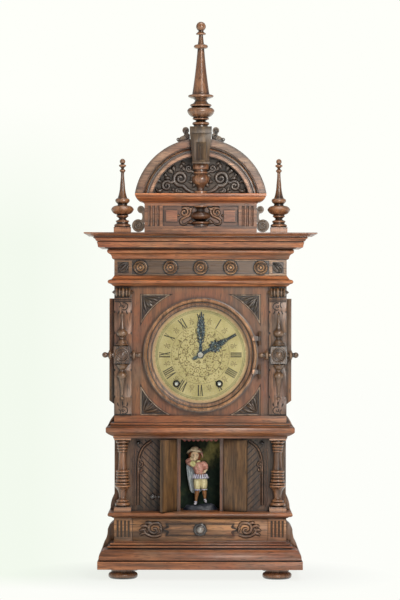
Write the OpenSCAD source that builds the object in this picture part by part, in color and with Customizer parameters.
// Trumpeter mantel clock in a carved and turned walnut case.
// The front faces -Y and +Z is up. The origin lies on the floor under the middle of the clock.

/* [Case] */
// Width across the two pilasters
body_w = 309; // [300:1:330]
// Depth from the pilaster faces to the back
body_d = 190; // [185:1:230]
// Thickness of the case boards
board_t = 12; // [10:0.5:13]
// Depth of the moulded rails from the face inwards
rail_t = 20; // [18:0.5:24]

/* [Base] */
// Height of the bun feet
foot_h = 19.5; // [16:0.5:26]
// Radius of the bun feet
foot_r = 27; // [22:0.5:28]
// Distance from the body's face to a foot's centre, inwards
foot_inset = 16.2; // [14:0.1:24]
// Height of the plinth moulding
plinth_h = 49; // [46:0.5:60]
// Height of the drawer storey
drawer_storey_h = 41.5; // [38:0.5:52]
// Width of the fluted blocks beside the drawer
corner_block_w = 33; // [30:0.5:40]
// Clearance round the drawer
drawer_gap = 0.6; // [0.4:0.1:1]
// Length of the drawer from front to back
drawer_l = 146; // [120:1:150]
// Thickness of the drawer's sides
drawer_wall = 7; // [5:0.5:9]
// Radius of the drawer knob
drawer_knob_r = 6.5; // [5:0.5:9]
// Height of the shelf moulding
shelf_h = 10.5; // [9:0.5:16]

/* [Trumpeter storey] */
// Height of the storey between shelf and middle moulding
niche_h = 132; // [128:1:150]
// Half the width of a column's square block
column_r = 15.2; // [14:0.2:16]
// Half the width of the stage opening
stage_hw = 35.5; // [32:0.5:38]
// Width of a jamb beside the stage
jamb_w = 8.5; // [7:0.5:11]
// Depth of the stage from the jambs to the backdrop
stage_d = 62; // [56:1:70]
// Thickness of a door leaf
leaf_t = 5; // [4:0.5:6]
// Angle by which the left leaf stands open
leaf_left_open = 126; // [110:1:140]
// Angle by which the right leaf stands open
leaf_right_open = 156; // [140:1:160]
// Gap between jamb and leaf, and between the closed leaves
leaf_gap = 0.5; // [0.4:0.1:1]
// Height of the figure with its stand
figure_h = 115; // [100:1:118]

/* [Main storey] */
// Height of the middle moulding with its apron
mid_h = 40.5; // [38:0.5:50]
// Height of the storey with the dial
main_h = 231.5; // [228:0.5:250]
// Width of a pilaster
pilaster_w = 31.5; // [29:0.5:34]
// How far the pilasters stand proud of the front panel
pilaster_proud = 9; // [6:0.5:11]
// Height of the dial's centre above the middle moulding
dial_rise = 109; // [107:0.5:116]
// Outer radius of the turned bezel
bezel_r = 103; // [101:0.5:106]
// Inner radius of the bezel
bezel_inner_r = 86.4; // [84:0.2:88]
// Thickness of the bezel
bezel_t = 16; // [15:0.5:18]
// Thickness of the dial glass
glass_t = 1.5; // [1:0.1:2]
// Radius of the dial plate
dial_r = 90.5; // [89:0.5:91.5]
// Length of the minute hand from its centre
minute_l = 78; // [70:1:82]
// Length of the hour hand from its centre
hour_l = 73; // [60:1:78]
// Thickness of the hands
hand_t = 1.2; // [0.8:0.1:1.4]
// How far the side doors stand out from the case
side_door_t = 9; // [7:0.5:11]
// Width of the side doors from front to back
side_door_w = 156; // [140:1:158]
// Height of the side doors
side_door_h = 197; // [180:1:205]

/* [Movement] */
// Distance between the dial and the front plate
dial_space = 26; // [25:0.5:30]
// Distance between the two movement plates
plate_space = 52; // [48:1:58]
// Thickness of the movement plates
plate_t = 3; // [2.5:0.1:3.5]
// Distance from the centre arbor to the minute wheel's arbor
motion_distance = 18; // [17:0.1:20]
// Radius of the centre arbor
arbor_r = 2; // [1.8:0.1:2.4]
// Radial clearance of a running fit
run_fit = 0.05; // [0.03:0.01:0.08]
// Radius of the spring barrels
barrel_r = 30; // [26:0.5:32]
// Length of the pendulum from its pivot to the bob's centre
pendulum_l = 132; // [110:1:140]
// How far the movement plates reach below the dial's centre
plate_drop = 96; // [90:1:104]
// How far the movement plates reach above the dial's centre
plate_rise = 62; // [58:1:66]
// Radius of the pendulum bob
bob_r = 22; // [16:0.5:24]

/* [Top] */
// Height of the architrave
architrave_h = 20; // [18:0.5:26]
// Height of the frieze
frieze_h = 28.5; // [28:0.5:34]
// Height of the cornice
cornice_h = 47.5; // [46:0.5:56]
// How far the cornice stands out beyond the body
cornice_reach = 52.8; // [50:0.2:60]
// Height of the strip under the pediment block
strip_h = 8; // [6:0.5:12]
// Height of the pediment block
block_h = 45.5; // [44:0.5:50]
// How far the pediment block's ends stand in from the arch
block_inset = 19; // [16:0.1:22]
// Depth of the pediment block
block_d = 50; // [46:1:60]
// Height of the moulding under the arch
arch_base_h = 17.5; // [16:0.5:22]
// How far the arch stands in from the sides of the body
arch_inset = 34.8; // [30:0.1:38]
// Drop of the arch's centre below its springing
arch_drop = 21; // [18:0.5:24]
// Width of the arch band
arch_band = 32; // [30:0.5:36]
// Depth of the arch from front to back
arch_d = 62; // [56:1:68]
// How far the keystone's foot hangs below the inner edge of the arch
keystone_drop = 14.2; // [10:0.1:18]
// Height of the keystone
keystone_h = 66.5; // [64:0.5:72]
// How far the keystone stands out in front of the arch
keystone_proud = 14; // [10:0.5:18]

/* [Hidden] */
$fn = 64;
far = 400;

// Levels, from the floor up
plinth_z = foot_h;
drawer_z = plinth_z + plinth_h;
shelf_z = drawer_z + drawer_storey_h;
niche_z = shelf_z + shelf_h;
mid_z = niche_z + niche_h;
main_z = mid_z + mid_h;
dial_z = main_z + dial_rise;
architrave_z = main_z + main_h;
frieze_z = architrave_z + architrave_h;
cornice_z = frieze_z + frieze_h;
top_z = cornice_z + cornice_h;
block_z = top_z + strip_h;
arch_base_z = block_z + block_h;
spring_z = arch_base_z + arch_base_h;
arch_z = spring_z - arch_drop;

// Half widths of the body, the arch and the block under it
hw = body_w / 2;
arch_r = hw - arch_inset;
arch_inner = arch_r - arch_band;
block_hw = arch_r - block_inset;
keystone_z = arch_z + arch_inner - keystone_drop;
keystone_top = keystone_z + keystone_h;

// Depths, with the front faces negative
back_y = (body_d + cornice_reach) / 2;
face_y = back_y - body_d;
panel_y = face_y + pilaster_proud;
panel_t = board_t;
inner_hw = hw - board_t;

// Points of an arc from a to b. The bulge is the tangent of a quarter of the arc's angle,
// and a positive one swells to the right of the way from a to b.
function arc_points(a, b, bulge, steps) = bulge == 0 ? [b] : let(
    turn = 4 * atan(bulge), chord = norm(b - a), radius = chord / 2 / sin(turn / 2),
    along = (b - a) / chord, aside = [along.y, -along.x])
    [for (i = [1:steps]) let(f = turn * (i / steps - 0.5))
        a + along * (chord / 2 + radius * sin(f)) + aside * (bulge * chord / 2 - radius * (1 - cos(f)))];

// An outline through [x, y] or [x, y, bulge] points
function outline(points, steps = 6) = [for (i = [0:len(points) - 1])
    each i == 0 ? [[points[0].x, points[0].y]]
        : arc_points([points[i - 1].x, points[i - 1].y], [points[i].x, points[i].y],
                     len(points[i]) > 2 ? points[i][2] : 0, steps)];

// The same outline with its heights stretched to a given height
function stretched(points, height) = let(last = points[len(points) - 1].y)
    [for (p = points) len(p) > 2 ? [p.x, p.y * height / last, p[2]] : [p.x, p.y * height / last]];

// A turning about +Z, from an outline of [radius, height, bulge] points from the foot up
module turned(points, steps = 6)
    rotate_extrude() polygon(concat([[0, points[0].y]], outline(points, steps),
                                    [[0, points[len(points) - 1].y]]));

// A block given by its lowest and highest corners
module block(low, high) translate(low) cube(high - low);

// The same outline with its projections stretched to a given reach
function spread(points, reach) = let(last = points[len(points) - 1].x)
    [for (p = points) len(p) > 2 ? [p.x * reach / last, p.y, p[2]] : [p.x * reach / last, p.y]];

// Outlines of the mouldings, as [projection, height, bulge] points from the foot up
plinth_outline = stretched([[28.8, 0], [28.8, 14], [24, 14], [24, 15.5], [26.5, 16, 0.4], [26.5, 18.5, 0.5],
    [16.5, 34, 0.36], [16.5, 34.8], [7.5, 34.8], [7.5, 36.8], [10.5, 37.2], [10.5, 40.8, 0.4], [6, 41.6],
    [6, 45.4, 0.4], [1.5, 46], [0, 49, -0.35]], plinth_h);
shelf_outline = stretched([[2, 0], [4.5, 1.8], [8, 2.6], [8, 9.2, 0.95], [2, 10.5]], shelf_h);
mid_outline = stretched([[1.5, 0], [1.5, 3.5], [4, 4.5], [14.5, 11.3, 0.1], [14.5, 18.6],
    [12.8, 20, 0.35], [5, 23.3, -0.25], [5, 24.2], [5, 27.2, 0.9], [0, 28.2], [0, 40.5]], mid_h);
architrave_outline = stretched([[0, 0], [4, 2.5], [8.5, 5, -0.2], [8.5, 12.2, 0.85], [5, 13], [1.5, 17.5],
    [0, 20]], architrave_h);
cornice_outline = spread(stretched([[0, 0], [4, 2.2, 0.3], [7.3, 9.2, -0.2], [9.5, 10.4], [9.5, 19, 0.75],
    [16.6, 20], [16.6, 21.5], [28.3, 21.5], [30.4, 31, -0.05], [29, 31.4], [29, 32.6], [32, 32.8],
    [37.2, 38, -0.3], [35.5, 39], [35.5, 41.5], [41, 43.2, 0.25],
    [52.8, 45.2, -0.1], [52.8, 47.5]], cornice_h), cornice_reach);
arch_base_outline = spread(stretched([[0, 0], [2.5, 1.2], [2.5, 2.4], [16, 11.6, 0.28], [15, 12.6],
    [17, 13.2], [17, 17.5]], arch_base_h), block_inset - 2);

// Length of moulding along the front, mitred at both ends
module front_run(points, z) intersection() {
    translate([0, 0, z]) rotate([90, 0, 90]) linear_extrude(2 * far, center = true)
        polygon([for (p = concat([[-rail_t, points[0].y]], outline(points),
                 [[-rail_t, points[len(points) - 1].y]])) [face_y - p.x, p.y]]);
    linear_extrude(3 * far) polygon([[rail_t - hw, face_y + rail_t], [hw - rail_t, face_y + rail_t],
        [hw + far, face_y - far], [-hw - far, face_y - far]]);
}

// Length of moulding along the right side, mitred at the front and square at the back
module side_run(points, z) intersection() {
    translate([0, back_y, z]) rotate([90, 0, 0]) linear_extrude(2 * far)
        polygon([for (p = concat([[-rail_t, points[0].y]], outline(points),
                 [[-rail_t, points[len(points) - 1].y]])) [hw + p.x, p.y]]);
    linear_extrude(3 * far) polygon([[hw - rail_t, face_y + rail_t], [hw + far, face_y - far],
        [hw + far, back_y], [hw - rail_t, back_y]]);
}

module both_sides() { children(); mirror([1, 0, 0]) children(); }

// Rail across the back between the side mouldings
module back_rail(z, height)
    block([rail_t - hw, back_y - rail_t, z], [hw - rail_t, back_y, z + height]);

module moulded_ring(points, z, height) {
    front_run(points, z);
    both_sides() side_run(points, z);
    back_rail(z, height);
}

// Board that fills a moulded ring, loose inside it or glued into grooves in its rails
groove = 4;
module infill(z, thickness, let_in = 0)
    block([rail_t - let_in - hw, face_y + rail_t - let_in, z],
          [hw - rail_t + let_in, back_y - rail_t + let_in, z + thickness]);

// Base: bun feet, plinth, drawer storey and shelf
module bun_feet() color("saddlebrown")
    for (x = [-1, 1], y = [face_y + foot_inset, back_y - foot_r])
        translate([x * (hw - foot_inset), y, 0])
            turned(stretched([[foot_r - 5.5, 0], [foot_r - 5.5, 12, 0.85], [foot_r - 6, 13.5],
                [foot_r - 5, 15], [foot_r - 5, 19.5]], foot_h));

module plinth() color("sienna") moulded_ring(plinth_outline, plinth_z, plinth_h);

drawer_hw = hw - corner_block_w - drawer_gap;
guide_t = corner_block_w - rail_t;
base_board_t = 8;
flute_r = 2.1;
flutes = 4;
flute_out = 0.5;
module corner_block() difference() {
    block([hw - corner_block_w, face_y, drawer_z], [hw, face_y + rail_t, shelf_z]);
    for (i = [0:flutes - 1])
        translate([hw - corner_block_w * (i + 1) / (flutes + 1), face_y - flute_out, drawer_z + 7])
            cylinder(r = flute_r, h = drawer_storey_h - 12);
}
module drawer_case() color("saddlebrown") {
    infill(drawer_z - base_board_t, base_board_t);
    both_sides() {
        corner_block();
        block([inner_hw, face_y + rail_t, drawer_z], [hw, back_y, shelf_z]);
        block([hw - corner_block_w, face_y + rail_t, drawer_z],
              [hw - corner_block_w + guide_t, back_y - board_t, drawer_z + guide_t]);
    }
    block([-inner_hw, back_y - board_t, drawer_z], [inner_hw, back_y, shelf_z]);
}

// Drawer: front board with a raised cartouche, four walls and a bottom
cartouche_hw = 65;
cartouche_hh = 12.2;
cartouche_t = 3;
drawer_low = drawer_z + drawer_gap / 2;
drawer_high = shelf_z - drawer_gap;
drawer_mid = (drawer_z + shelf_z) / 2;
drawer_back = face_y + drawer_l;
drawer_front_t = 12;
module drawer_box() color("saddlebrown") {
    difference() {
        block([-drawer_hw, face_y, drawer_low], [drawer_hw, drawer_back, drawer_high]);
        block([drawer_wall - drawer_hw, face_y + drawer_front_t, drawer_low + drawer_wall - 2],
              [drawer_hw - drawer_wall, drawer_back - drawer_wall, shelf_z + 1]);
        translate([0, face_y - 1, drawer_mid]) rotate([-90, 0, 0])
            cylinder(r = knob_pin_r, h = drawer_front_t + 2);
    }
    difference() {
        translate([0, face_y, drawer_mid]) rotate([90, 0, 0]) linear_extrude(cartouche_t)
            polygon([for (s = [[1, 1], [-1, 1], [-1, -1], [1, -1]])
                each s.x * s.y > 0 ? cartouche_corner(s) : reversed(cartouche_corner(s))]);
        translate([0, face_y + 1, drawer_mid]) rotate([90, 0, 0])
            cylinder(r = knob_pin_r, h = cartouche_t + 2);
    }
}
function reversed(list) = [for (i = [len(list) - 1:-1:0]) list[i]];
function cartouche_corner(s) = [[s.x * cartouche_hw, s.y * 2], [s.x * (cartouche_hw - 9), s.y * 5],
    [s.x * (cartouche_hw - 4), s.y * cartouche_hh]];

knob_pin_r = 2.5;
module drawer_knob() color("dimgray")
    translate([0, face_y - cartouche_t, drawer_mid]) rotate([90, 0, 0]) {
        turned([[12, 0], [12, 1.2], [9, 2.6, 0.3], [8, 2.6], [3.5, 5, -0.4], [3.5, 7],
                [0, 7 + 2 * drawer_knob_r - 1, 0.78]]);
        translate([0, 0, -cartouche_t - drawer_front_t]) cylinder(r = knob_pin_r, h = 20);
    }

module shelf() color("sienna") {
    moulded_ring(shelf_outline, shelf_z, shelf_h);
    infill(shelf_z, shelf_h, groove);
}

// Trumpeter storey
column_foot_h = 9;
column_head_h = 3.5;
column_outline = stretched([[12, 0], [12, 7, 0.5], [9.5, 8], [9.5, 12, 0.7], [8, 13], [6.3, 18, -0.3],
    [6.8, 21.5], [14.7, 36, -0.18], [14.7, 38], [12, 39, -0.4], [12.5, 43, 0.9], [11, 44],
    [11, 49, 0.75], [10, 50.5], [10, 55, 0.85], [10, 56], [10, 60, 0.8], [10.5, 61], [10.5, 65, 0.9],
    [8.4, 66.5], [7, 97, -0.04], [8, 98], [8, 101, 0.8], [8.6, 102.5], [8.6, 106, 0.85], [9, 107.5],
    [9, 111.5, 0.8], [8.5, 112.5], [10.5, 114], [10.5, 118.5, 0.85], [12, 119.5]],
    niche_h - column_foot_h - column_head_h);
column_y = face_y + column_r;
module columns() color("sienna") both_sides() translate([hw - column_r, column_y, niche_z]) {
    block([-column_r, -column_r, 0], [column_r, column_r, column_foot_h]);
    translate([0, 0, column_foot_h]) turned(column_outline, 5);
    block([-column_r, -column_r, niche_h - column_head_h], [column_r, column_r, niche_h]);
}

// The lattice panels stand behind the columns, and the jambs a little in front of them
leaf_y = face_y + 22.6;
jamb_y = leaf_y + leaf_t / 2 + leaf_gap;
jamb_d = 14;
lattice_y = jamb_y + 5;
lattice_t = 8;
leaf_hinge_x = stage_hw + jamb_w;
stage_back = jamb_y + stage_d;
wall_y = column_y + column_r + 2;
module lower_walls() color("saddlebrown") {
    both_sides() block([inner_hw, wall_y, niche_z], [hw, back_y, mid_z]);
    block([-inner_hw, back_y - board_t, niche_z], [inner_hw, back_y, mid_z]);
}

lattice_frame = 10;
lattice_pitch = 11.5;
lattice_cut = 1.8;
lattice_groove = 1.8;
lattice_w = inner_hw - leaf_hinge_x;
module lattice_panels() color("saddlebrown") both_sides() difference() {
    block([leaf_hinge_x, lattice_y, niche_z], [inner_hw, lattice_y + lattice_t, mid_z]);
    intersection() {
        block([leaf_hinge_x + 2, lattice_y - 1, niche_z + 4], [hw - 2 * column_r - lattice_frame,
               lattice_y + lattice_cut, mid_z - 4]);
        for (i = [0:17])
            translate([leaf_hinge_x + lattice_w / 2, lattice_y, niche_z - 40 + i * lattice_pitch])
                rotate([0, -45, 0]) cube([4 * niche_h, 2 * lattice_cut, lattice_groove], center = true);
    }
}

head_h = 3;
module stage_box() color("saddlebrown") {
    both_sides() block([stage_hw, jamb_y, niche_z], [leaf_hinge_x, jamb_y + jamb_d, mid_z]);
    block([-stage_hw, jamb_y, mid_z - head_h], [stage_hw, jamb_y + jamb_d, mid_z]);
    both_sides() block([leaf_hinge_x - 4, jamb_y + jamb_d, niche_z], [leaf_hinge_x, stage_back, mid_z]);
    block([4 - leaf_hinge_x, jamb_y + jamb_d, mid_z - 4], [leaf_hinge_x - 4, stage_back, mid_z]);
}

module backdrop() color("darkslategray")
    block([-leaf_hinge_x, stage_back, niche_z], [leaf_hinge_x, stage_back + 3, mid_z]);

// Figure of the trumpeter, seen from the front with the trumpet at its right
figure_y = jamb_y + stage_d / 2 + 2;
figure_x = -5.5;
stand_h = 9;
figure_k = (figure_h - stand_h) / 97;
module figure_stand() color("darkslategray") translate([figure_x + 2, figure_y, niche_z]) intersection() {
    cylinder(r1 = 19, r2 = 16, h = stand_h);
    block([-19, -13, 0], [19, 13, stand_h]);
}
module limb(a, b, ra, rb) hull() {
    translate(a) sphere(ra, $fn = 16);
    translate(b) sphere(rb, $fn = 16);
}
trumpet_from = [-1.7, -9.4, 72.2];
trumpet_turn = [100, 0, -18];
trumpet_r = 1;
module trumpeter() color("indianred")
    translate([figure_x, figure_y, niche_z + stand_h]) scale(figure_k) difference() {
        union() {
            limb([-4, 0, 3], [-4.5, 0.5, 26], 3, 5);
            limb([6, -1, 3], [5, 0.5, 26], 3, 5);
            limb([0.3, 0.5, 36], [-0.5, 0, 60], 9, 10.5);
            limb([-0.5, 0, 62], [-0.5, 0, 68], 9, 4);
            translate([-1, -1, 77]) sphere(9, $fn = 32);
            translate([-1, 1.5, 81]) rotate([-14, 0, 0]) cylinder(r1 = 14, r2 = 9, h = 12);
            limb([-9, 0, 64], [-15, -7, 66], 4.4, 3.4);
            limb([-15, -7, 66], [-5, -14, 70.6], 3.4, 2.6);
            limb([8, 1, 64], [14, 2, 50], 4.4, 3.6);
        }
        translate(trumpet_from) rotate(trumpet_turn) cylinder(r = trumpet_r + 0.03, h = 12);
    }
module trumpet() color("goldenrod")
    translate([figure_x, figure_y, niche_z + stand_h]) scale(figure_k)
        translate(trumpet_from) rotate(trumpet_turn)
            turned([[1.6, 0], [1.6, 1], [trumpet_r, 2], [trumpet_r, 11], [2, 14, -0.1], [4.8, 17, -0.25], [4.8, 17.6]]);

// Flared brackets on the sides, over the plinth, the shelf and the middle moulding
bracket_w = 70;
bracket_y = face_y + 60;
module side_bracket(points)
    translate([0, bracket_y + bracket_w, 0]) rotate([90, 0, 0]) linear_extrude(bracket_w)
        polygon([for (p = outline(points)) [hw + p.x, p.y]]);
module side_consoles() color("saddlebrown") both_sides() {
    difference() {
        side_bracket([[0, shelf_z - 12], [13, shelf_z - 25, -0.25], [20.5, drawer_z - 10, 0.15],
                      [22.5, drawer_z - 19], [0, drawer_z - 19]]);
        side_run(plinth_outline, plinth_z);
    }
    side_bracket([[0, niche_z + 30], [8, niche_z, -0.15], [0, niche_z]]);
    difference() {
        side_bracket([[0, main_z], [13.8, main_z - 24, -0.15], [0, main_z - 24]]);
        side_run(mid_outline, mid_z);
    }
}

// Main storey
seat_t = 10;
module mid_moulding() color("sienna") moulded_ring(mid_outline, mid_z, mid_h);
module seat_board() color("saddlebrown") {
    infill(main_z - seat_t, seat_t);
    for (x = [-1, 1]) block([x * 55 - 10, plate_y, main_z], [x * 55 + 10, plate_back, plate_low]);
}

// Frames of the side walls, and the rails across the back
stile_w = 24;
wall_front = face_y + board_t;
back_recess = 6;
back_rail_h = 16;
back_face = back_y - back_recess;
module main_walls() color("saddlebrown") {
    both_sides() {
        block([inner_hw, wall_front, main_z], [hw, wall_front + stile_w, architrave_z]);
        block([inner_hw, back_y - stile_w, main_z], [hw, back_y, architrave_z]);
        for (z = [main_z, architrave_z - stile_w])
            block([inner_hw, wall_front + stile_w, z], [hw, back_y - stile_w, z + stile_w]);
    }
    for (z = [main_z, architrave_z - back_rail_h])
        block([-inner_hw, back_face - board_t, z], [inner_hw, back_face, z + back_rail_h]);
}

// Front panel with the round opening and four sunk corners
panel_hw = hw - pilaster_w;
spandrel_hw = 108.2;
spandrel_hh = 109.2;
spandrel_arc_r = 119.5;
spandrel_cut = 4;
panel_hole_r = dial_r + 1;
module about_dial() translate([0, 0, dial_z]) rotate([90, 0, 0]) children();
module front_panel() color("sienna") difference() {
    block([-panel_hw, panel_y, main_z], [panel_hw, panel_y + panel_t, architrave_z]);
    about_dial() translate([0, 0, -far]) cylinder(r = panel_hole_r, h = 2 * far, $fn = 96);
    difference() {
        block([-spandrel_hw, panel_y - 1, dial_z - spandrel_hh],
              [spandrel_hw, panel_y + spandrel_cut, dial_z + spandrel_hh]);
        about_dial() translate([0, 0, -far]) cylinder(r = spandrel_arc_r, h = 2 * far, $fn = 96);
    }
}

// Pilasters, with a notched outline between head and foot
pilaster_head_h = 20.5;
pilaster_foot_h = 6;
notch_r = 2.4;
pilaster_top = architrave_z - pilaster_head_h;
module pilasters() color("sienna") both_sides() {
    difference() {
        block([hw - pilaster_w, face_y, main_z], [hw, face_y + board_t, pilaster_top]);
        for (x = [hw - pilaster_w, hw], z = [-75, -27, 39, 77])
            translate([x, face_y - 1, dial_z + z]) rotate([-90, 0, 0])
                cylinder(r = notch_r, h = pilaster_proud);
    }
    block([hw - pilaster_w, face_y + 3, pilaster_top], [hw, face_y + board_t, architrave_z]);
}

// Turned ornaments on the pilasters: split spindles with a boss, side knobs and head spools
spindle_x = hw - pilaster_w / 2 + 1.5;
spindle_upper = [[9, 15.4], [12.2, 17.5, 0.4], [8.5, 24, -0.2], [6, 27], [4.5, 30, -0.3], [6, 32.5],
    [6.5, 45, 0.6], [5.4, 46], [2.2, 68.5, -0.05], [2.6, 71], [0, 75.6, 0.5]];
spindle_lower = [[9, 15.4], [12.2, 17.5, 0.4], [8.5, 23, -0.2], [5.5, 26], [4.5, 29, -0.3], [6, 31.4],
    [6.5, 42.6, 0.55], [6.1, 46], [2.9, 71, -0.05], [1.8, 74], [1.8, 75], [0, 81.2, 0.75]];
side_knob = [[4.5, 0], [4.5, 3], [7.8, 4.5, -0.3], [7.8, 9, 0.5], [4, 11, -0.3], [4, 12.5],
    [0, 21, 0.62]];
spindle_block_hw = 14.6;
spindle_block_hh = 15.4;
spindle_block_t = 13;
boss_outline = [[13.4, 0], [13.4, 1.6], [11.5, 2.8, 0.3], [10, 1.6, -0.4], [8.5, 2.8, 0.3],
    [7, 2.2, -0.3], [5, 4, 0.3], [0, 5.4, 0.2]];
spool = [[0, -20.2], [5.5, -14], [9.2, -11, 0.3], [7, -8.5], [7, -4, 0.8], [7, -3], [7, 3, 0.9],
    [7, 4], [7, 8.5, 0.8], [9.2, 11], [5.5, 14, 0.3], [0, 20.2]];
module front_half() intersection() {
    children();
    block([-far, -far, -far], [far, 0, far]);
}
module pilaster_turnings() color("saddlebrown") both_sides() {
    translate([spindle_x, face_y, dial_z]) {
        front_half() turned(spindle_upper);
        front_half() rotate([180, 0, 0]) turned(spindle_lower);
        block([-spindle_block_hw, -spindle_block_t, -spindle_block_hh],
              [spindle_block_hw, 0, spindle_block_hh]);
        translate([0, -spindle_block_t, 0]) rotate([90, 0, 0]) turned(boss_outline);
        for (side = [0, 180]) rotate([0, 0, side]) translate([spindle_block_hw, side == 0 ? -9 : 9, 0])
            rotate([0, 90, 0]) turned(side_knob);
    }
    translate([hw - pilaster_w / 2, face_y + 3, architrave_z - pilaster_head_h / 2])
        front_half() rotate([0, 90, 0]) turned(spool);
}

// Architrave, frieze and cornice
module architrave() color("sienna") moulded_ring(architrave_outline, architrave_z, architrave_h);

frieze_sink = 3;
frieze_edge = 4;
frieze_square = 20;
boss_r = 13.1;
boss_gap = 2.1;
boss_pitch = (hw - pilaster_w - boss_r - boss_gap) / 2;
module frieze() color("saddlebrown") {
    flat = [[0, 0], [0, frieze_h]];
    difference() {
        front_run(flat, frieze_z);
        block([pilaster_w - hw, face_y - 1, frieze_z + frieze_edge / 2],
              [hw - pilaster_w, face_y + frieze_sink, cornice_z - frieze_edge / 2]);
        for (x = [-1, 1]) translate([x * (hw - pilaster_w / 2), face_y, frieze_z + frieze_h / 2])
            cube([frieze_square, 2 * frieze_sink, frieze_square], center = true);
    }
    both_sides() side_run(flat, frieze_z);
    back_rail(frieze_z, frieze_h);
    for (i = [-2:2]) translate([i * boss_pitch, face_y + frieze_sink, frieze_z + frieze_h / 2])
        rotate([90, 0, 0]) turned([[boss_r - 1, 0], [boss_r, 2, 0.3], [boss_r - 2, 4, 0.4],
            [boss_r - 3.5, 3, -0.4], [boss_r - 5, 5, 0.4], [boss_r - 6.5, 4, -0.4], [5, 6.5, 0.3],
            [3.4, 6, -0.3], [0, 7.6, 0.3]]);
}

top_board_t = 10;
module cornice() color("sienna") {
    moulded_ring(cornice_outline, cornice_z, cornice_h);
    infill(top_z - top_board_t, top_board_t, groove);
}

// Pediment: strip, block, arch and carvings
ped_y = face_y + 6;
ped_back = ped_y + block_d;
recess_hw = 68;
recess_edge = 4.5;
recess_cut = 5;
tablet = 10.5;
tablet_x = 52;
module pediment_block() color("saddlebrown") {
    block([-block_hw, ped_y - 3, top_z], [block_hw, ped_back + 3, block_z]);
    difference() {
        block([-block_hw, ped_y, block_z], [block_hw, ped_back, arch_base_z]);
        block([-recess_hw, ped_y - 1, block_z + recess_edge],
              [recess_hw, ped_y + recess_cut, arch_base_z - recess_edge]);
        for (x = [-1, 1], i = [-1:1])
            translate([x * (block_hw + recess_hw) / 2 + i * 8, ped_y, block_z + recess_edge])
                cylinder(r = 2.6, h = block_h - 2 * recess_edge);
    }
    both_sides() block([tablet_x - tablet, ped_y + 1, block_z + block_h / 2 - tablet],
                       [tablet_x + tablet, ped_y + recess_cut, block_z + block_h / 2 + tablet]);
}

// Moulded slab on the block, mitred at the front corners
module arch_base() color("sienna") intersection() {
    translate([0, 0, arch_base_z]) rotate([90, 0, 90]) linear_extrude(2 * far, center = true)
        polygon([for (p = concat(outline(arch_base_outline),
                 [[-block_d - 6, arch_base_h], [-block_d - 6, 0]])) [ped_y - p.x, p.y]]);
    translate([0, far / 2, arch_base_z]) rotate([90, 0, 0]) linear_extrude(far) {
        side = outline(arch_base_outline);
        polygon(concat([for (p = side) [block_hw + p.x, p.y]],
                       reversed([for (p = side) [-block_hw - p.x, p.y]])));
    }
}

arch_face = -ped_y + 11;
arch_back = arch_face - arch_d;
arch_section = [[arch_inner, arch_back], [arch_inner, arch_face - 4], [arch_inner + 1.5, arch_face - 3, 0.3],
    [arch_inner + 8, arch_face - 3], [arch_inner + 9, arch_face - 6], [arch_inner + 15, arch_face - 8, -0.4],
    [arch_inner + 16.5, arch_face - 4, 0.3], [arch_inner + 18, arch_face - 4],
    [arch_inner + 18, arch_face - 1], [arch_inner + 19, arch_face], [arch_r - 1, arch_face],
    [arch_r, arch_face - 1], [arch_r, arch_back]];
module above_spring() intersection() {
    children();
    block([-far, -far, spring_z], [far, far, 3 * far]);
}
module arch() color("sienna") above_spring()
    translate([0, 0, arch_z]) rotate([90, 0, 0]) rotate_extrude($fn = 128) polygon(outline(arch_section, 4));

tympanum_t = 10;
tympanum_face = arch_face - 16;
module tympanum() color("saddlebrown") above_spring()
    translate([0, 0, arch_z]) rotate([90, 0, 0]) translate([0, 0, tympanum_face - tympanum_t])
        cylinder(r = arch_inner, h = tympanum_t, $fn = 128);

keystone_face = arch_face + keystone_proud;
keystone_cap_hw = 19.6;
keystone_foot_hw = 14.3;
keystone_cap_h = 12;
keystone_top_d = 44;
gouge_hw = 9.5;
gouge_depth = 6;
gouge_h = keystone_h - 35;
// V cut down the keystone's face, sloped at its top
module keystone_gouge() intersection() {
    translate([0, -keystone_face, keystone_z + 7]) linear_extrude(gouge_h)
        polygon([[-gouge_hw, -0.1], [gouge_hw, -0.1], [0, gouge_depth]]);
    translate([0, -keystone_face, keystone_z + 7 + gouge_h]) rotate([-50, 0, 0])
        block([-2 * gouge_hw, -far / 4, -far / 4], [2 * gouge_hw, far / 4, 0]);
}
module keystone() color("saddlebrown") difference() {
    union() {
        translate([0, -keystone_face + keystone_proud, keystone_z]) rotate([90, 0, 0])
            linear_extrude(keystone_proud) polygon([[-keystone_foot_hw, 0], [keystone_foot_hw, 0],
                [keystone_cap_hw, keystone_h - keystone_cap_h], [-keystone_cap_hw, keystone_h - keystone_cap_h]]);
        block([-keystone_foot_hw - 1.5, -keystone_face - 1.5, keystone_z],
              [keystone_foot_hw + 1.5, -arch_face, keystone_z + 4]);
        block([-keystone_cap_hw, -keystone_face - 2, keystone_top - keystone_cap_h],
              [keystone_cap_hw, -keystone_face + keystone_top_d, keystone_top]);
        block([-keystone_cap_hw + 2, -keystone_face, keystone_top - 24],
              [keystone_cap_hw - 2, -keystone_face + keystone_top_d, keystone_top - keystone_cap_h]);
    }
    translate([0, 0, arch_z]) rotate([90, 0, 0]) translate([0, 0, arch_back])
        cylinder(r = arch_r, h = arch_d, $fn = 128);
    keystone_gouge();
}

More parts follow.
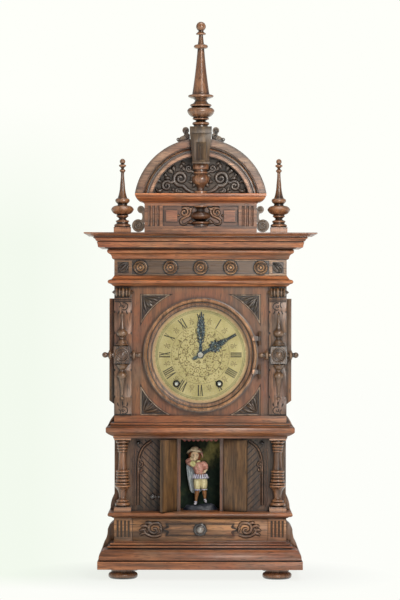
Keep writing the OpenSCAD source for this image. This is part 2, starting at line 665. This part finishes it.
// Split vases under the keystone and in the middle of the block
pendant_outline = [[12, 0], [12, 4], [6.2, 5.5, -0.3], [6.2, 10], [9, 14], [15.5, 21.5, 0.25],
    [12, 31.5, 0.35], [11.5, 33], [11.5, 37, 0.8], [11.5, 40], [14, 41], [14, 49, 0.2]];
block_vase_outline = [[14, 0], [14, 3], [15, 4], [15, 8, 0.8], [9, 10], [12, 12], [18, 19, 0.35],
    [10, 26, 0.35], [7, 28], [9, 32, -0.2], [13, 35], [13, 36.5]];
module half_vases() color("sienna") {
    translate([0, -tympanum_face, spring_z]) front_half()
        turned(stretched(pendant_outline, keystone_z - spring_z));
    translate([0, ped_y + recess_cut, block_z + recess_edge]) front_half()
        turned(stretched(block_vase_outline, block_h - 2 * recess_edge));
}

// Turned finials
finial_y = -keystone_face + keystone_top_d / 2;
main_finial_outline = [[12.5, 0], [12.5, 3], [12.5, 9, 0.9], [8.6, 11.2, -0.3], [13.2, 13],
    [13.2, 16.6, 0.9], [14, 17.4], [24.4, 29.3, 0.3], [15.6, 35, 0.35], [17, 36.5], [17, 41, 0.95],
    [10.6, 47.2, -0.25], [16.5, 51.3, -0.3], [20.6, 53], [20.6, 57.5, 0.95], [15.4, 58.8],
    [6, 140, -0.02], [10, 141], [10, 147.5, 0.8], [5.6, 148.7], [3.8, 164.9, -0.03], [7.6, 165.5],
    [7.6, 168.5, 0.9], [4.5, 171.5], [4.5, 172.5], [0, 189, 0.762]];
module main_finial() color("sienna") translate([0, finial_y, keystone_top]) turned(main_finial_outline);

corner_block_h = 11;
corner_finial_outline = [[13, 0], [13, 5, 0.75], [10.4, 6.5], [10.4, 8], [10.4, 12, 0.8], [6.1, 15, -0.3],
    [9.5, 18], [9.5, 21.5, 0.85], [11, 22.5], [20.6, 31.5, 0.3], [9, 38.5, 0.35], [8.4, 41],
    [11, 43.5], [11, 51, 0.55], [8.6, 52], [4.3, 77, -0.08], [2.9, 97, -0.03], [4, 99],
    [4, 103, 0.7], [2.3, 105.5], [4.8, 108], [4.8, 112, 0.9], [2.8, 113.2], [0, 122.8, 0.72]];
corner_x = hw - 14;
module corner_finials() color("sienna") both_sides() translate([corner_x, face_y + column_r, top_z]) {
    block([-column_r, -column_r, 0], [column_r, column_r, corner_block_h]);
    translate([0, 0, corner_block_h]) turned(corner_finial_outline, 5);
}

// Carved volutes beside the block, and the crest beside the keystone
scroll_t = 20;
module disc(x, z, r) translate([x, 0, z]) rotate([90, 0, 0]) cylinder(r = r, h = scroll_t, $fn = 32);
module side_scroll() translate([block_hw, ped_y + scroll_t + 2, top_z]) {
    disc(11.3, 13.5, 11.3);
    disc(6.5, 42.5, 6.5);
    translate([0, 0, block_h / 2 + strip_h]) rotate([90, 0, 0]) linear_extrude(scroll_t)
        polygon(outline([[0, -12], [9, -10], [4, 0, -0.3], [8, 8, -0.2], [0, 12]]));
}
crest_t = 16;
module crest_leaf() difference() {
    translate([0, -arch_face + crest_t + 4, 0]) rotate([90, 0, 0]) linear_extrude(crest_t) {
        translate([27, keystone_top - 6]) circle(5.9, $fn = 32);
        polygon(outline([[keystone_cap_hw, keystone_top - 14], [27, keystone_top - 9, -0.2],
            [33, keystone_top - 16, 0.3], [42, keystone_top - 25, -0.2], [34, keystone_top - 30],
            [keystone_cap_hw, keystone_top - 26]]));
    }
    translate([0, 0, arch_z]) rotate([90, 0, 0]) translate([0, 0, arch_back])
        cylinder(r = arch_r, h = arch_d, $fn = 128);
}
module scroll_carvings() color("saddlebrown") both_sides() {
    side_scroll();
    crest_leaf();
}

// Hinges: a pin with two fixed knuckles, and between them the knuckle that moves
knuckle_r = 2.6;
pin_r = 1.3;
knuckle_h = 8;
knuckle_gap = 0.3;
strap_t = 1.6;
module strap(reach) block([-strap_t / 2, 0, 0], [strap_t / 2, reach, knuckle_h]);
module fixed_hinge(turn, reach) {
    cylinder(r = pin_r, h = 3 * knuckle_h + 2 * knuckle_gap, center = true, $fn = 24);
    for (z = [-1.5 * knuckle_h - knuckle_gap, knuckle_h / 2 + knuckle_gap]) translate([0, 0, z]) {
        cylinder(r = knuckle_r, h = knuckle_h, $fn = 24);
        rotate([0, 0, turn]) strap(reach);
    }
}
module moving_hinge(turn, reach) difference() {
    union() {
        translate([0, 0, -knuckle_h / 2]) cylinder(r = knuckle_r, h = knuckle_h, $fn = 24);
        translate([0, 0, -knuckle_h / 2]) rotate([0, 0, turn]) strap(reach);
    }
    translate([0, 0, -knuckle_h]) cylinder(r = pin_r + run_fit, h = 2 * knuckle_h, $fn = 24);
}

// Hinge lines of the bezel, the side doors and the back door
bezel_hinge_x = bezel_r + 3.2;
bezel_hinge_y = panel_y - bezel_t - 0.4;
bezel_hinge_dz = 30;
side_door_front = wall_front + 2;
side_hinge_x = hw + side_door_t - knuckle_r;
side_hinge_y = side_door_front + side_door_w + knuckle_r + 0.2;
side_door_z = main_z + 13;
back_hinge_x = -inner_hw + knuckle_r + 2.2;
back_hinge_y = back_face - knuckle_r;
back_door_low = main_z + back_rail_h + 1;
back_door_high = architrave_z - back_rail_h - 1;
hinge_in = 34;
module hinges() color("goldenrod") {
    for (s = [-1, 1]) translate([bezel_hinge_x, bezel_hinge_y, dial_z + s * bezel_hinge_dz])
        fixed_hinge(0, panel_y - bezel_hinge_y);
    both_sides() for (z = [side_door_z + hinge_in, side_door_z + side_door_h - hinge_in])
        translate([side_hinge_x, side_hinge_y, z]) fixed_hinge(90, side_door_t - knuckle_r);
    for (z = [back_door_low + hinge_in, back_door_high - hinge_in])
        translate([back_hinge_x, back_hinge_y, z]) fixed_hinge(90, back_hinge_x + inner_hw);
    for (x = [-1, 1]) translate([x * leaf_hinge_x, leaf_y, 0]) {
        translate([0, 0, niche_z]) cylinder(r = pin_r, h = leaf_pivot_h, $fn = 24);
        translate([0, 0, mid_z - leaf_pivot_h]) cylinder(r = pin_r, h = leaf_pivot_h, $fn = 24);
    }
}

// Bezel with its glass, hinged on the right
glass_rabbet = 8.5;
bezel_section = [[bezel_inner_r + 4, 0], [bezel_inner_r + 4, glass_rabbet], [bezel_inner_r, glass_rabbet],
    [bezel_inner_r, glass_rabbet + 1.5], [bezel_inner_r + 3.2, 12.8, 0.45], [bezel_inner_r + 3.2, 10.8],
    [bezel_inner_r + 4.2, 10.8], [bezel_inner_r + 6.8, 14.4, 0.45], [bezel_inner_r + 6.8, 12.2],
    [bezel_inner_r + 8, 12.2], [bezel_r - 5.6, bezel_t, 0.3], [bezel_r - 5.6, bezel_t - 2.2],
    [bezel_r - 4.4, bezel_t - 2.2], [bezel_r, bezel_t - 6, 0.5], [bezel_r, 0]];
glass_r = bezel_inner_r + 3.9;
bezel_strap_l = 13;
bezel_strap_d = 5;
module bezel() color("sienna") {
    translate([0, panel_y, dial_z]) rotate([90, 0, 0]) rotate_extrude($fn = 128)
        polygon(outline(bezel_section));
    for (s = [-1, 1]) translate([bezel_hinge_x, bezel_hinge_y, dial_z + s * bezel_hinge_dz]) {
        moving_hinge(90, bezel_strap_l);
        block([-bezel_strap_l, -strap_t / 2, -knuckle_h / 2], [-knuckle_r, bezel_strap_d, knuckle_h / 2]);
    }
}
glass_seat = panel_y - glass_rabbet;
module bezel_glass() color("lightblue") translate([0, glass_seat, dial_z]) rotate([-90, 0, 0])
    cylinder(r = glass_r, h = glass_t, $fn = 96);

// Dial with two winding holes, their bushes, and the hands
dial_face = panel_y + 1.6;
dial_t = 1.5;
hand_hole_r = 5.2;
wind_left = [-43, -52];
wind_right = [34, -52];
wind_hole_r = 6.1;
module at_wind(w, y) translate([w.x, y, dial_z + w.y]) rotate([90, 0, 0]) children();
module dial() {
    color("khaki") difference() {
        translate([0, dial_face + dial_t, dial_z]) rotate([90, 0, 0]) cylinder(r = dial_r, h = dial_t, $fn = 96);
        translate([0, dial_face + 9, dial_z]) rotate([90, 0, 0]) cylinder(r = hand_hole_r, h = 20);
        for (w = [wind_left, wind_right]) at_wind(w, dial_face + 9) cylinder(r = wind_hole_r, h = 20);
    }
    color("darkgoldenrod") for (w = [wind_left, wind_right]) at_wind(w, dial_face + dial_t) difference() {
        cylinder(r = wind_hole_r, h = dial_t + 0.6);
        translate([0, 0, -1]) cylinder(r = wind_hole_r - 1.1, h = dial_t + 3);
    }
}

hour_y = dial_face - 1.2;
minute_y = hour_y - hand_t - 1;
pipe_r = 4;
// A clock gear in the plane, with straight flanked teeth and a gap on the +X line when shifted
module gear_outline(teeth, size, shift = 0) {
    pitch = teeth * size / 2;
    polygon([for (i = [0:teeth - 1], k = [[-0.27, -1.05], [-0.13, 0.8], [0.13, 0.8], [0.27, -1.05]])
        let(a = 360 / teeth * (i + k[0] + shift), r = pitch + k[1] * size) [r * cos(a), r * sin(a)]]);
}
cannon_teeth = 12;
minute_teeth = 36;
minute_pinion_teeth = 10;
hour_teeth = 40;
cannon_size = 2 * motion_distance / (cannon_teeth + minute_teeth);
hour_size = 2 * motion_distance / (minute_pinion_teeth + hour_teeth);
wheel_t = 2;
plate_y = dial_face + dial_t + dial_space;
plate_mid = plate_y + plate_t;
plate_rear = plate_mid + plate_space;
plate_back = plate_rear + plate_t;
cannon_y = plate_y - 2;
hour_wheel_y = cannon_y - 6;
cannon_r = arbor_r + 1.2;

module hand_slice(y) translate([0, y, dial_z]) rotate([90, 0, 0]) linear_extrude(hand_t) children();
// Pierced leaves of the hands, each one outline round its eye, with a slot or a round hole in the leaf
module minute_shape() difference() {
    polygon(outline([[-3, 6], [-6, 0, 0.3], [6, 0, 1], [3, 6, 0.3], [3.4, 12], [2.2, 20, -0.1], [4.5, 32, -0.1],
        [6, 48, 0.1], [2, minute_l - 14, 0.15], [0.3, minute_l], [-0.3, minute_l], [-2, minute_l - 14],
        [-6, 48, 0.15], [-4.5, 32, 0.1], [-2.2, 20, -0.1], [-3.4, 12, -0.1]]));
    polygon([[-1.4, 30], [0, 54], [1.4, 30], [0, 24]]);
}
module hour_shape() difference() {
    polygon(outline([[2, -6.2], [3, 5.8, 0.66], [3, 21.5], [3, 38.5, 0.71], [5.5, 41], [1.4, 50, 0.1],
        [0.8, hour_l], [-0.8, hour_l], [-1.4, 50], [-5.5, 41, 0.1], [-3, 38.5], [-3, 21.5, 0.71],
        [-3, 5.8], [-2, -6.2, 0.66], [-3.5, -11], [0, -17], [3.5, -11]]));
    translate([0, 30]) circle(4.5, $fn = 32);
}
module minute_hand() color("midnightblue") hand_slice(minute_y) rotate(-1.5) difference() {
    minute_shape();
    circle(arbor_r, $fn = 32);
}
hour_angle = -60;
module hour_hand() color("midnightblue") hand_slice(hour_y) rotate(hour_angle) difference() {
    hour_shape();
    circle(pipe_r, $fn = 48);
}
nut_t = 1.8;
module hand_nut() color("silver") translate([0, minute_y - hand_t, dial_z]) rotate([90, 0, 0]) difference() {
    cylinder(r = 4.6, h = nut_t);
    translate([0, 0, -1]) cylinder(r = arbor_r, h = 9);
}
module centre_arbor() color("goldenrod") {
    translate([0, plate_back + 2, dial_z]) rotate([90, 0, 0])
        cylinder(r = arbor_r, h = plate_back + 2 - minute_y + hand_t + nut_t);
    translate([0, cannon_y, dial_z]) rotate([90, 0, 0]) difference() {
        union() {
            linear_extrude(5) gear_outline(cannon_teeth, cannon_size);
            cylinder(r = cannon_r, h = cannon_y - minute_y - 0.1);
        }
        translate([0, 0, -1]) cylinder(r = arbor_r, h = 99);
    }
}
module hour_wheel() color("goldenrod") translate([0, hour_wheel_y, dial_z]) rotate([90, 0, 0]) difference() {
    union() {
        linear_extrude(wheel_t) gear_outline(hour_teeth, hour_size);
        cylinder(r = pipe_r, h = hour_wheel_y - hour_y + hand_t);
    }
    translate([0, 0, -1]) cylinder(r = cannon_r + run_fit, h = 99);
}
minute_angle = 90;
module minute_wheel() color("goldenrod") translate([0, 0, dial_z]) rotate([0, -minute_angle, 0])
    translate([motion_distance, 0, 0]) rotate([90, 0, 0]) {
        translate([0, 0, -cannon_y + 1.5]) difference() {
            linear_extrude(wheel_t) gear_outline(minute_teeth, cannon_size, 0.5);
            translate([0, 0, -1]) cylinder(r = arbor_r * 0.6 + run_fit, h = 9);
        }
        translate([0, 0, -cannon_y + 1.5 + wheel_t]) difference() {
            linear_extrude(6.2) gear_outline(minute_pinion_teeth, hour_size, 0.5);
            translate([0, 0, -1]) cylinder(r = arbor_r * 0.6 + run_fit, h = 9);
        }
    }

// Movement: two plates on pillars, barrels, winding arbors and pendulum
plate_left = -80;
plate_right = 72;
plate_low = dial_z - plate_drop;
plate_high = dial_z + plate_rise;
pillar_r = 4;
pillar_xz = [for (x = [plate_left + 9, plate_right - 9], z = [plate_low + 9, plate_high - 9]) [x, z]];
wind_arbor_r = 3.4;
module movement_plates() color("darkgoldenrod") {
    for (y = [plate_mid, plate_back]) difference() {
        block([plate_left, y - plate_t, plate_low], [plate_right, y, plate_high]);
        translate([0, y + 9, dial_z]) rotate([90, 0, 0]) cylinder(r = arbor_r + run_fit, h = 20);
        for (w = [wind_left, wind_right]) at_wind(w, y + 9) cylinder(r = wind_arbor_r + run_fit, h = 20);
    }
    translate([0, plate_y, dial_z + motion_distance]) rotate([90, 0, 0])
        cylinder(r = arbor_r * 0.6, h = plate_y - hour_wheel_y + 3);
}
foot_ring_r = dial_r - 12;
module pillars() color("goldenrod") for (p = pillar_xz)
    translate([p.x, plate_rear, p.y]) rotate([90, 0, 0]) cylinder(r = pillar_r, h = plate_space);
module dial_feet() color("goldenrod") for (a = [45:90:315])
    translate([foot_ring_r * cos(a), plate_y, dial_z + foot_ring_r * sin(a)]) rotate([90, 0, 0])
        cylinder(r = 2.5, h = dial_space);
barrel_h = 34;
module barrels() color("goldenrod") for (w = [wind_left, wind_right])
    at_wind(w, plate_rear - (plate_space - barrel_h) / 2) difference() {
        cylinder(r = barrel_r, h = barrel_h);
        translate([0, 0, -1]) cylinder(r = wind_arbor_r + run_fit, h = barrel_h + 2);
    }
square_w = 4.2;
module winding_arbor(w) color("silver") {
    at_wind(w, plate_back + 3) cylinder(r = wind_arbor_r, h = plate_back + 3 - dial_face - 6);
    at_wind(w, dial_face + 6) translate([-square_w / 2, -square_w / 2, 0]) cube([square_w, square_w, 6.6]);
}
module winding_arbor_left() winding_arbor(wind_left);
module winding_arbor_right() winding_arbor(wind_right);

pendulum_y = plate_back + 10;
pendulum_z = plate_high - 10;
pivot_r = 1.5;
module pendulum() color("goldenrod") translate([0, pendulum_y, pendulum_z]) {
    rotate([90, 0, 0]) difference() {
        translate([0, 0, -2]) cylinder(r = 5, h = 4);
        translate([0, 0, -3]) cylinder(r = pivot_r + run_fit, h = 6);
    }
    difference() {
        block([-1.5, -1, -pendulum_l], [1.5, 1, -3]);
        rotate([90, 0, 0]) translate([0, 0, -3]) cylinder(r = pivot_r + run_fit, h = 6);
    }
    translate([0, 0, -pendulum_l]) rotate([90, 0, 0]) turned([[0, -4], [bob_r, 0, 0.12], [0, 4, 0.12]]);
}
module pendulum_cock() color("darkgoldenrod") {
    block([-8, plate_back, pendulum_z - 6], [8, plate_back + 4, pendulum_z + 10]);
    block([-8, plate_back + 4, pendulum_z + 7], [8, pendulum_y + 5, pendulum_z + 10]);
    translate([0, pendulum_y + 5, pendulum_z]) rotate([90, 0, 0])
        cylinder(r = pivot_r, h = pendulum_y + 5 - plate_back - 4);
}

// Leaves of the stage doors, drawn open. Each turns about a pin in its edge.
leaf_pivot_h = 6;
leaf_low = niche_z + leaf_gap;
leaf_high = mid_z - head_h;
leaf_w = leaf_hinge_x - leaf_gap;
module door_leaf() difference() {
    union() {
        translate([0, 0, leaf_low]) cylinder(r = leaf_t / 2, h = leaf_high - leaf_low);
        block([0, -leaf_t / 2, leaf_low], [leaf_w, leaf_t / 2, leaf_high]);
    }
    translate([0, 0, niche_z - 1]) cylinder(r = pin_r + run_fit, h = leaf_pivot_h + 2, $fn = 24);
    translate([0, 0, mid_z - leaf_pivot_h - 1]) cylinder(r = pin_r + run_fit, h = leaf_pivot_h + 2, $fn = 24);
}
module door_leaf_left() color("sienna")
    translate([-leaf_hinge_x, leaf_y, 0]) rotate([0, 0, -leaf_left_open]) door_leaf();
module door_leaf_right() color("sienna")
    translate([leaf_hinge_x, leaf_y, 0]) rotate([0, 0, leaf_right_open]) mirror([1, 0, 0]) door_leaf();
leaf_knob_z = niche_z + 27;
module door_knob() color("dimgray") translate([-leaf_hinge_x, leaf_y, leaf_knob_z])
    rotate([0, 0, -leaf_left_open]) translate([leaf_w - 6, -leaf_t / 2, 0]) rotate([90, 0, 0])
        turned([[4.5, 0], [4.5, 1.2], [2.2, 2.6], [2.2, 5], [3.4, 6.5, 0.5], [2.2, 8], [2.2, 13],
            [3.6, 14.5, 0.5], [2.6, 16], [0, 26.5, 0.85]]);

// Side doors and back door
module side_door() {
    difference() {
        translate([0, side_door_front + side_door_w, side_door_z]) rotate([90, 0, 0])
            linear_extrude(side_door_w) polygon([[hw, 7], [hw + side_door_t, 14],
                [hw + side_door_t, side_door_h], [hw, side_door_h]]);
        block([hw + side_door_t - 3, side_door_front + 22, side_door_z + 32],
              [hw + side_door_t + 1, side_door_front + side_door_w - 22, side_door_z + side_door_h - 22]);
    }
    for (z = [side_door_z + hinge_in, side_door_z + side_door_h - hinge_in])
        translate([side_hinge_x, side_hinge_y, z]) moving_hinge(180, knuckle_r + 2.2);
}
module side_door_right() color("saddlebrown") side_door();
module side_door_left() color("saddlebrown") mirror([1, 0, 0]) side_door();

back_door_left = back_hinge_x + knuckle_r + 0.2;
module back_door() color("saddlebrown") {
    block([back_door_left, back_face - board_t + 2, back_door_low], [inner_hw - 1, back_face, back_door_high]);
    for (z = [back_door_low + hinge_in, back_door_high - hinge_in])
        translate([back_hinge_x, back_hinge_y, z]) moving_hinge(-90, knuckle_r + 2.2);
}
button_x = inner_hw - 30;
button_z = back_door_high + 9;
button_t = 4;
module turn_button() color("goldenrod") translate([button_x, back_face + button_t + 0.2, button_z])
    rotate([90, 0, 0]) difference() {
        linear_extrude(button_t) {
            circle(5, $fn = 32);
            polygon([[0, -5], [18, -3.5], [18, 3.5], [0, 5]]);
        }
        translate([0, 0, -1]) cylinder(r = pin_r + run_fit, h = 9, $fn = 24);
    }
module button_pin() color("goldenrod") translate([button_x, back_y - 0.4, button_z]) rotate([90, 0, 0])
    cylinder(r = pin_r, h = back_recess - 0.4, $fn = 24);

// Trumpet works behind the stage: wind chest, bellows and horns
works_y = stage_back + 6;
works_back = back_y - board_t - 4;
chest_h = 26;
chest_hw = 122;
module wind_chest() color("burlywood") {
    block([-chest_hw, works_y, niche_z], [chest_hw, works_back, niche_z + chest_h]);
    block([-chest_hw, works_y + 6, niche_z + chest_h], [-10, works_back - 6, niche_z + chest_h + 5]);
}
bellows_z = niche_z + chest_h + 5;
bellows_h = 7;
bellows_x = -chest_hw + 4;
bellows_l = chest_hw - 18;
module bellows_leather() color("peru") translate([0, works_back - 8, 0]) rotate([90, 0, 0])
    linear_extrude(works_back - works_y - 16) polygon([[bellows_x + 8, bellows_z],
        [bellows_x + bellows_l - 3, bellows_z], [bellows_x + bellows_l - 3, bellows_z + bellows_h - 0.3],
        [bellows_x + 8, bellows_z + 1.4]]);
bellows_tilt = atan((bellows_h - 1.7) / (bellows_l - 11));
module bellows_board() color("burlywood") translate([bellows_x + 8, 0, bellows_z + 1.9])
    rotate([0, -bellows_tilt, 0]) block([-6, works_y + 6, 0], [bellows_l - 6, works_back - 6, 5]);
horn_r = [6, 7, 8, 9, 10, 11];
horn_pitch = 22;
module horns() color("goldenrod") for (i = [0:5])
    translate([8 + i * horn_pitch, (works_y + works_back) / 2, niche_z + chest_h]) rotate_extrude()
        polygon([[0, 0], [3, 0], [horn_r[i], 50 + 5 * i], [horn_r[i] - 1, 50 + 5 * i], [2, 4], [0, 4]]);

module finials() { main_finial(); corner_finials(); }

bun_feet();
plinth();
drawer_case();
drawer_box();
drawer_knob();
shelf();
columns();
lower_walls();
lattice_panels();
stage_box();
backdrop();
figure_stand();
trumpeter();
trumpet();
door_leaf_left();
door_leaf_right();
door_knob();
side_consoles();
mid_moulding();
seat_board();
main_walls();
front_panel();
pilasters();
pilaster_turnings();
union() { hinges(); button_pin(); }
bezel();
bezel_glass();
dial();
minute_hand();
hour_hand();
hand_nut();
centre_arbor();
hour_wheel();
minute_wheel();
movement_plates();
union() { pillars(); dial_feet(); }
barrels();
winding_arbor_left();
winding_arbor_right();
pendulum();
pendulum_cock();
side_door_left();
side_door_right();
back_door();
turn_button();
wind_chest();
bellows_leather();
bellows_board();
horns();
architrave();
frieze();
cornice();
pediment_block();
arch_base();
arch();
tympanum();
keystone();
half_vases();
finials();
scroll_carvings();
